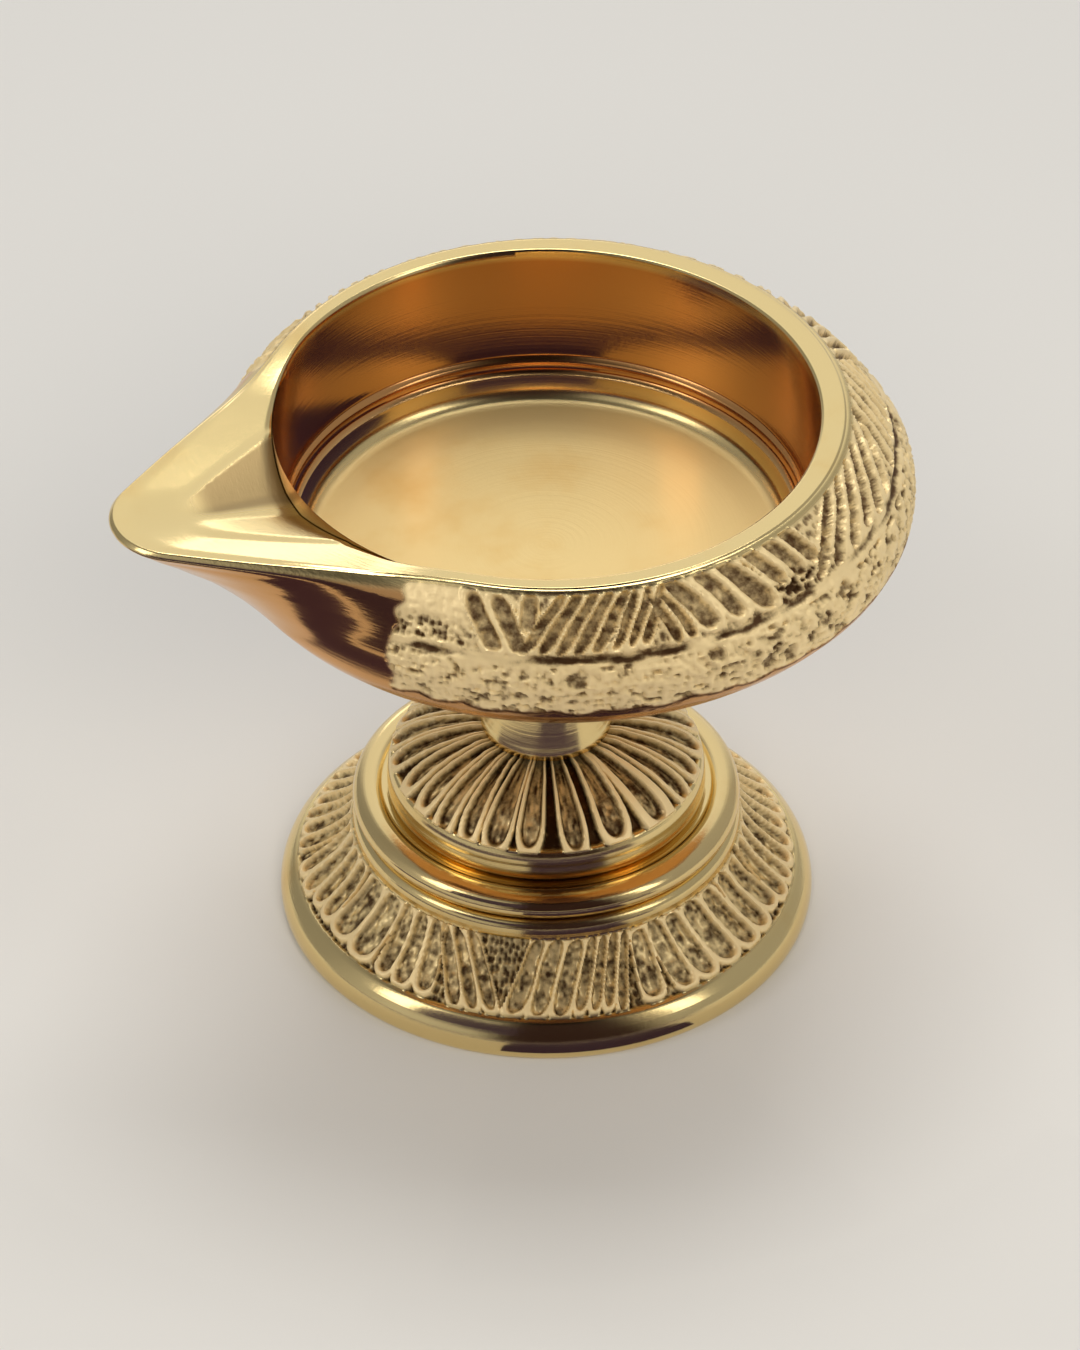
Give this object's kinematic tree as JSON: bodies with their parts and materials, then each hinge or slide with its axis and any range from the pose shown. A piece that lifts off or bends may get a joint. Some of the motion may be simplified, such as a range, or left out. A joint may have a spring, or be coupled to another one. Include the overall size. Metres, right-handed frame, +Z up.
{
  "type": "pedestal oil lamp",
  "caption": "Short brass standing oil lamp: thick round oil bowl with one pouring spout for the wick, on a waisted neck, fluted dome and flared carved foot.",
  "frame": {"origin": "centre of the bounding box on the table plane, under the lamp", "axes": "+Z up along the turning axis, spout towards -X, +X towards the back of the bowl"},
  "size_m": [0.1034, 0.088, 0.077],
  "materials": {
    "foot_brass": "carved flange, polished rim",
    "polished_brass": "bright polish",
    "engraved_brass": "engraved flutes with dark recesses",
    "drawn_brass": "plain drawn rod",
    "turned_brass": "turned and polished",
    "cast_brass": "cast, turned inside, carved outside, polished rim",
    "washer_brass": "plain",
    "spring_steel": "plain",
    "nut_brass": "plain"
  },
  "bodies": {
    "pedestal": {"pedestal_foot": "foot_brass", "bead_ring": "polished_brass", "pedestal_dome": "engraved_brass", "tie_stud": "drawn_brass"},
    "neck": {"neck_collar": "turned_brass"},
    "bowl": {"oil_bowl": "cast_brass"},
    "washers": {"flat_washer": "washer_brass", "spring_washer": "spring_steel"},
    "nut": {"hex_nut": "nut_brass"}
  },
  "joints": [
    {"name": "bowl_lift", "type": "slide", "parent": "pedestal", "child": "neck", "axis": [0, 0, 1], "range_m": [0, 0.00563]},
    {"name": "bowl_unscrew", "type": "hinge", "parent": "neck", "child": "bowl", "pos_m": [0.0055, 0, 0.0475], "axis": [0, 0, 1], "range_deg": [0, 1620]},
    {"name": "nut_drop", "type": "slide", "parent": "pedestal", "child": "washers", "axis": [0, 0, -1], "range_m": [0, 0.0045]},
    {"name": "nut_unscrew", "type": "hinge", "parent": "washers", "child": "nut", "pos_m": [0.0055, 0, 0.0088], "axis": [0, 0, -1], "range_deg": [0, 1297]}
  ],
  "couplings": [
    {"joint": "bowl_lift", "follows": "bowl_unscrew", "m_per_rad": 0.00019894},
    {"joint": "nut_unscrew", "follows": "nut_drop", "rad_per_m": 5026.5}
  ]
}
